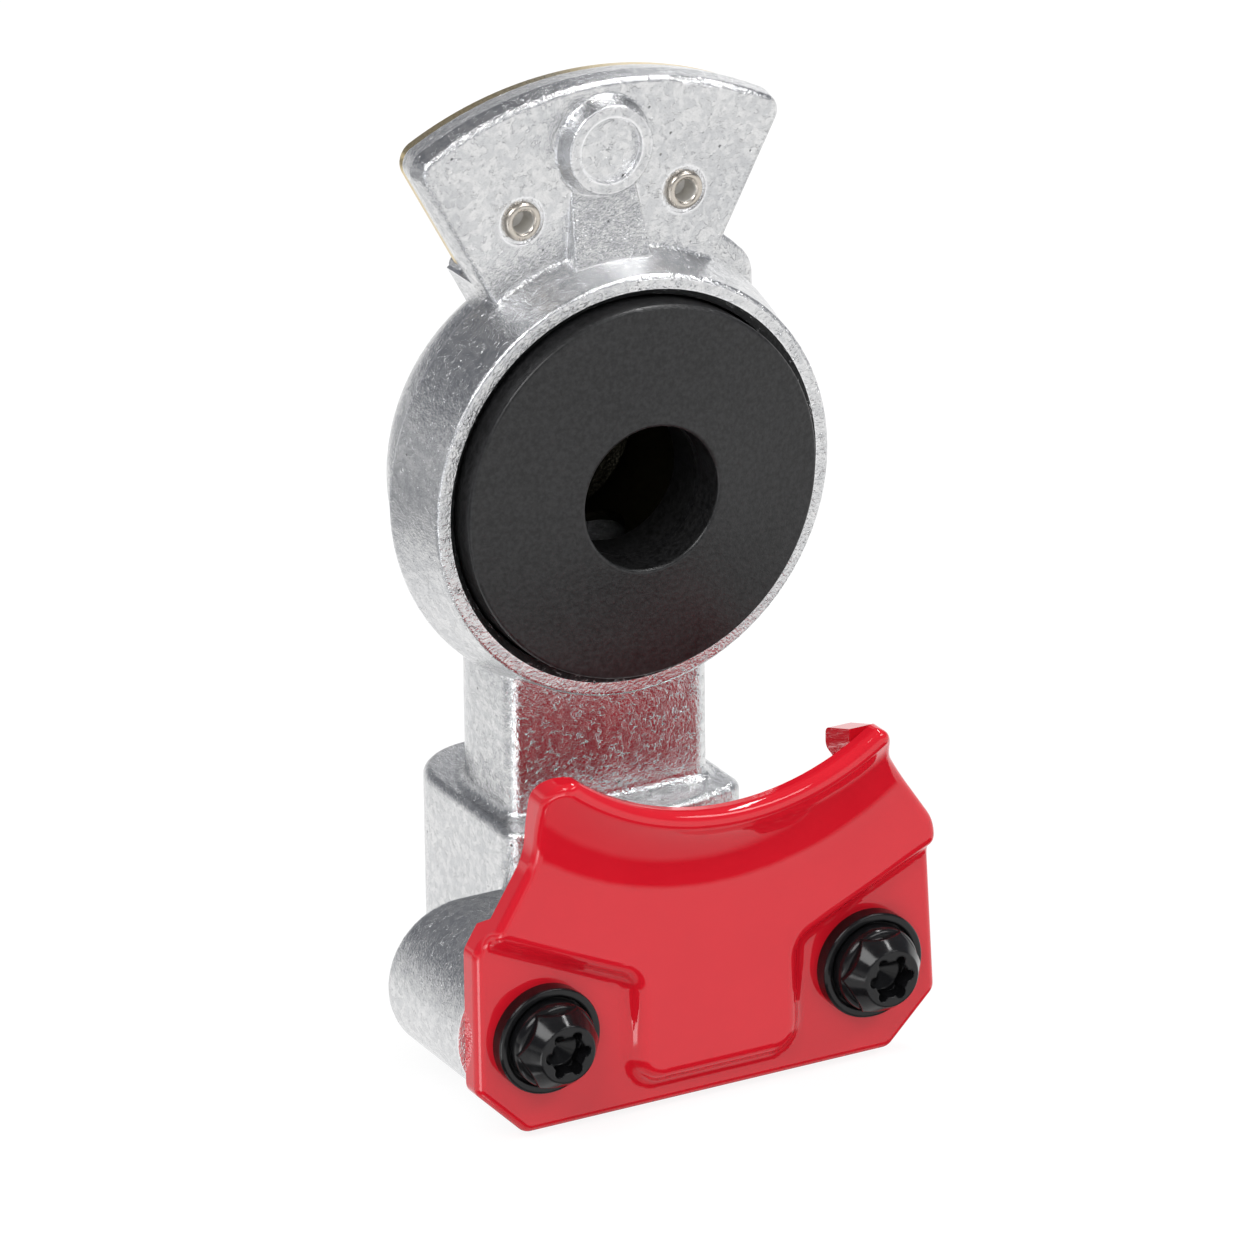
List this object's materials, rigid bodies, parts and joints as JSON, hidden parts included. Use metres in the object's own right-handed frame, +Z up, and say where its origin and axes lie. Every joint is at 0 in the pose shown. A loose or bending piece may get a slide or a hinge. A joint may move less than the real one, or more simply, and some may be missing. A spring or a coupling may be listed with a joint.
{
  "type": "gladhand air brake coupler",
  "caption": "Quick-turn air hose coupler for vehicle brakes: cast body with rubber face seal, flange, bolted guide plate and threaded port below.",
  "frame": {"origin": "centre of the sealing face, at the depth of the sealing ring's outer front edge", "axes": "+Z up along the neck, away from the hose port; -Y out of the sealing face towards the mating coupler; +X to the right seen from behind the sealing face along +Y"},
  "size_m": [0.0679, 0.0585, 0.1308],
  "materials": {
    "cast_aluminium": "cast, tumbled, polished edges",
    "seal_rubber": "smooth moulded, matte",
    "red_enamel": "gloss baked enamel",
    "yellow_zinc_steel": "yellow zinc plated",
    "nickel_steel": "nickel plated, satin",
    "black_steel": "black oxide, glossy"
  },
  "bodies": {
    "root": {"coupling_body": "cast_aluminium", "seal_ring": "seal_rubber", "guide_plate": "red_enamel", "detent_plate": "yellow_zinc_steel", "rivet_left": "nickel_steel", "rivet_right": "nickel_steel", "screw_left": "black_steel", "screw_right": "black_steel", "washer_left": "black_steel", "washer_right": "black_steel"}
  },
  "joints": []
}
